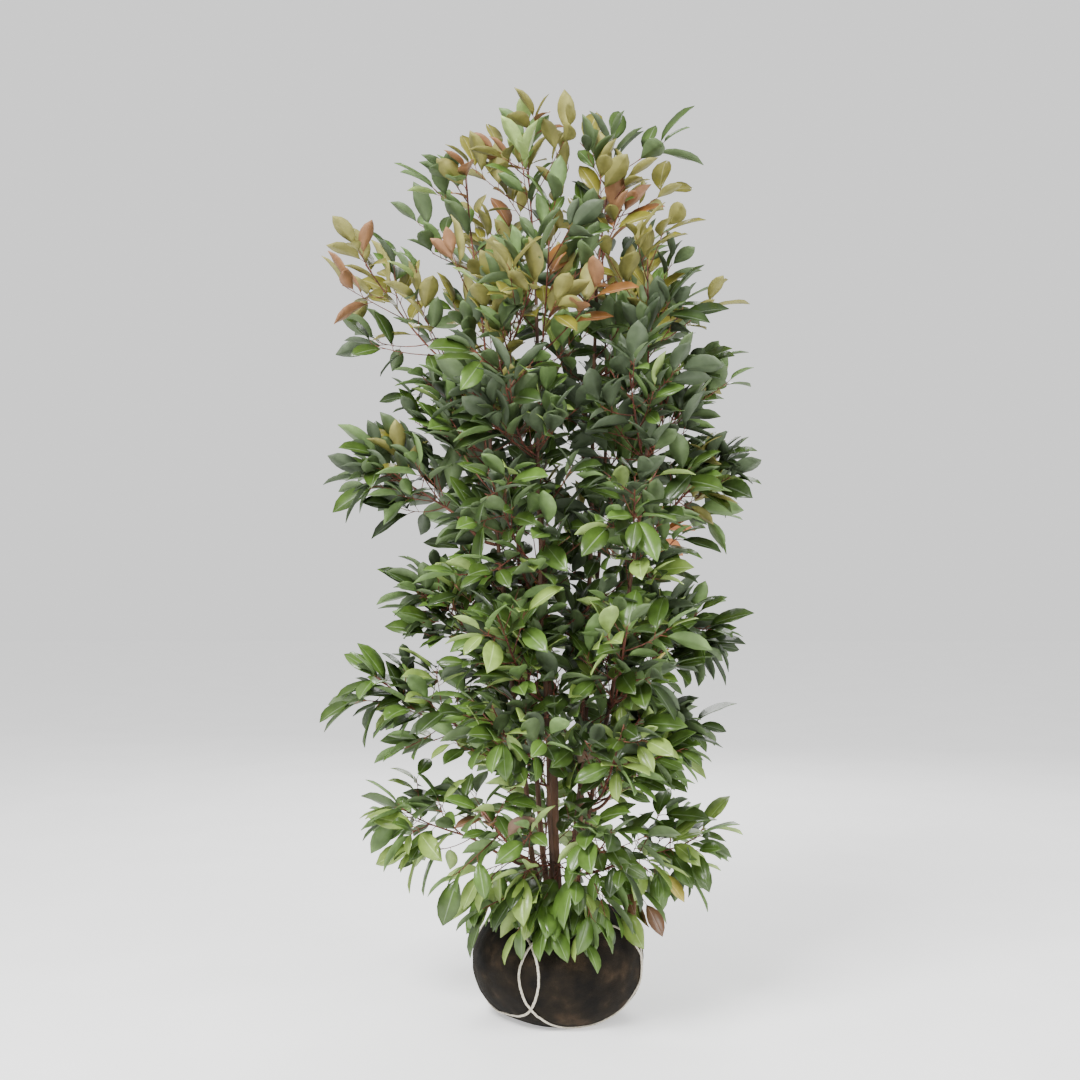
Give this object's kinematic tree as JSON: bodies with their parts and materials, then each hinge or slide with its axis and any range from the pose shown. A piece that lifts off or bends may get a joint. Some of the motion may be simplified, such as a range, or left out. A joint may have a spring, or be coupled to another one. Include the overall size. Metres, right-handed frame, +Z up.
{
  "type": "red tip photinia shrub on a wrapped root ball",
  "caption": "Tall evergreen shrub with several upright stems and masses of glossy leaves, standing on a cloth-wrapped root ball bound with twine.",
  "frame": {"origin": "middle of the flat underside of the root ball, which stands on the floor", "axes": "+Z up the stems, +X to the right as seen from the front, and the viewer of the front stands at -Y"},
  "size_m": [0.998, 0.8513, 2.1464],
  "materials": {
    "bark": "rough",
    "young_bark": "satin",
    "foliage": "satin",
    "tip_foliage": "satin",
    "wrap_cloth": "matte",
    "pale_twine": "matte"
  },
  "bodies": {
    "root": {"foliage_chest_1": "foliage", "foliage_chest_2": "foliage", "foliage_chest_3": "foliage", "foliage_chest_4": "foliage", "foliage_chest_5": "foliage", "foliage_chest_6": "foliage", "foliage_foot_1": "foliage", "foliage_foot_2": "foliage", "foliage_foot_3": "foliage", "foliage_foot_4": "foliage", "foliage_foot_5": "foliage", "foliage_low_1": "foliage", "foliage_low_2": "foliage", "foliage_low_3": "foliage", "foliage_low_4": "foliage", "foliage_low_5": "foliage", "foliage_low_6": "foliage", "foliage_shoulder_1": "foliage", "foliage_shoulder_2": "foliage", "foliage_shoulder_3": "foliage", "foliage_shoulder_4": "foliage", "foliage_shoulder_5": "foliage", "foliage_shoulder_6": "foliage", "foliage_top_1": "tip_foliage", "foliage_top_2": "tip_foliage", "foliage_top_3": "tip_foliage", "foliage_waist_1": "foliage", "foliage_waist_2": "foliage", "foliage_waist_3": "foliage", "foliage_waist_4": "foliage", "foliage_waist_5": "foliage", "foliage_waist_6": "foliage", "leader_back_left": "tip_foliage", "leader_back_right": "tip_foliage", "leader_front": "tip_foliage", "leader_left": "tip_foliage", "leader_main": "tip_foliage", "leader_outer_right": "tip_foliage", "leader_right": "tip_foliage", "limb_chest_1": "young_bark", "limb_chest_4": "young_bark", "limb_foot_1": "young_bark", "limb_foot_3": "young_bark", "limb_low_1": "young_bark", "limb_low_4": "young_bark", "limb_waist_1": "young_bark", "limb_waist_4": "young_bark", "root_ball": "wrap_cloth", "stem_back_left": "bark", "stem_back_right": "bark", "stem_front": "bark", "stem_left": "bark", "stem_main": "bark", "stem_outer_right": "bark", "stem_right": "bark", "twine_back_left": "pale_twine", "twine_back_right": "pale_twine", "twine_front_left": "pale_twine", "twine_front_right": "pale_twine"}
  },
  "joints": []
}
